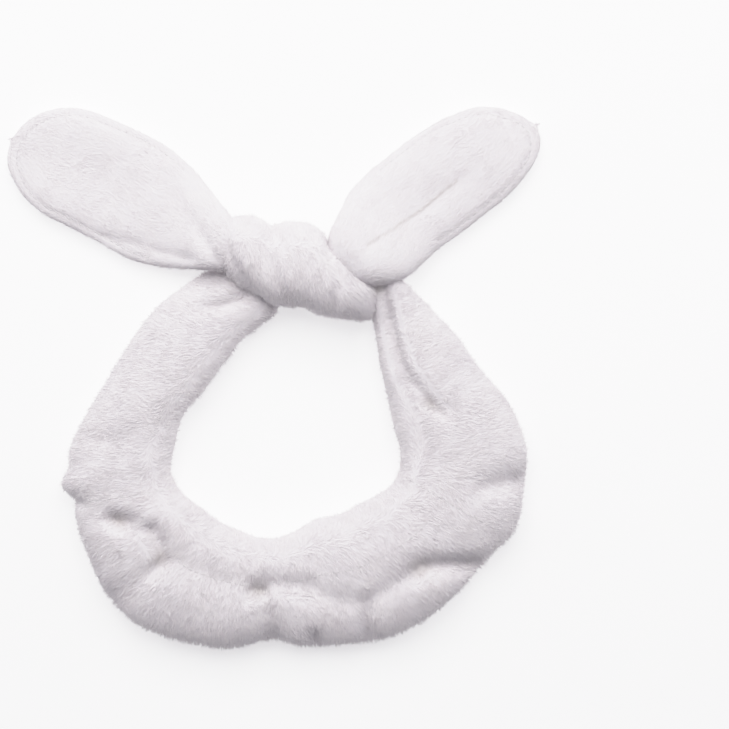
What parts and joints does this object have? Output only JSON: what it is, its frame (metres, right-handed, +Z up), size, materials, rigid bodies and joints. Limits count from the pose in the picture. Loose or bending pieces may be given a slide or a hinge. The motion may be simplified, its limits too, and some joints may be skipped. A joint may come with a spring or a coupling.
{
  "type": "spa headband",
  "caption": "Plush fleece spa headband with an elasticated back, a front knot and bunny ears, lying flat and opened to a loop.",
  "frame": {"origin": "on the table under the middle of the whole object's box", "axes": "+Z up from the table the headband lies flat on, +Y from the elasticated back towards the knot and the ears, +X to the right seen from above"},
  "size_m": [0.266, 0.271, 0.039],
  "materials": {
    "fleece": "long soft coral-fleece pile, matte, clumped, white with a faint lilac shade",
    "fleece_lining": "the same coral fleece on the side worn against the head, matte white",
    "knitted_elastic": "knitted white elastic with fine lengthwise ribs",
    "thread": "twisted white polyester sewing thread with a slight sheen"
  },
  "bodies": {
    "knotted_front": {"band_left_face": "fleece", "band_left_lining": "fleece_lining", "band_right_face": "fleece", "band_right_lining": "fleece_lining", "band_gathered_middle": "fleece", "knot_wrap_left": "fleece", "knot_wrap_middle": "fleece", "knot_wrap_right": "fleece", "knot_tack_stitch": "thread", "left_ear_neck": "fleece", "right_ear_neck": "fleece"},
    "elasticated_back": {"band_back_face": "fleece", "band_back_lining": "fleece_lining", "elastic_strip": "knitted_elastic", "elastic_left_bartack": "thread", "elastic_right_bartack": "thread", "elastic_channel_stitch": "thread", "left_join_stitch": "thread", "right_join_stitch": "thread"},
    "left_ear": {"left_ear_front": "fleece", "left_ear_back": "fleece_lining", "left_ear_topstitch": "thread"},
    "right_ear": {"right_ear_front": "fleece", "right_ear_back": "fleece_lining", "right_ear_topstitch": "thread"}
  },
  "joints": [
    {"name": "back_stretch", "type": "slide", "parent": "knotted_front", "child": "elasticated_back", "axis": [0, -1, 0], "range_m": [0, 0.07], "stiffness_N_per_m": 90, "deforming": ["band_left_face", "band_left_lining", "band_right_face", "band_right_lining"]},
    {"name": "left_ear_fold", "type": "hinge", "parent": "knotted_front", "child": "left_ear", "pos_m": [-0.04314, 0.0734, 0.0058], "axis": [0.4067, 0.9135, 0], "range_deg": [0, 100], "deforming": ["left_ear_neck"]},
    {"name": "right_ear_fold", "type": "hinge", "parent": "knotted_front", "child": "right_ear", "pos_m": [0.06086, 0.07178, 0.0058], "axis": [0.6374, -0.7705, 0], "range_deg": [0, 100], "deforming": ["right_ear_neck"]}
  ]
}
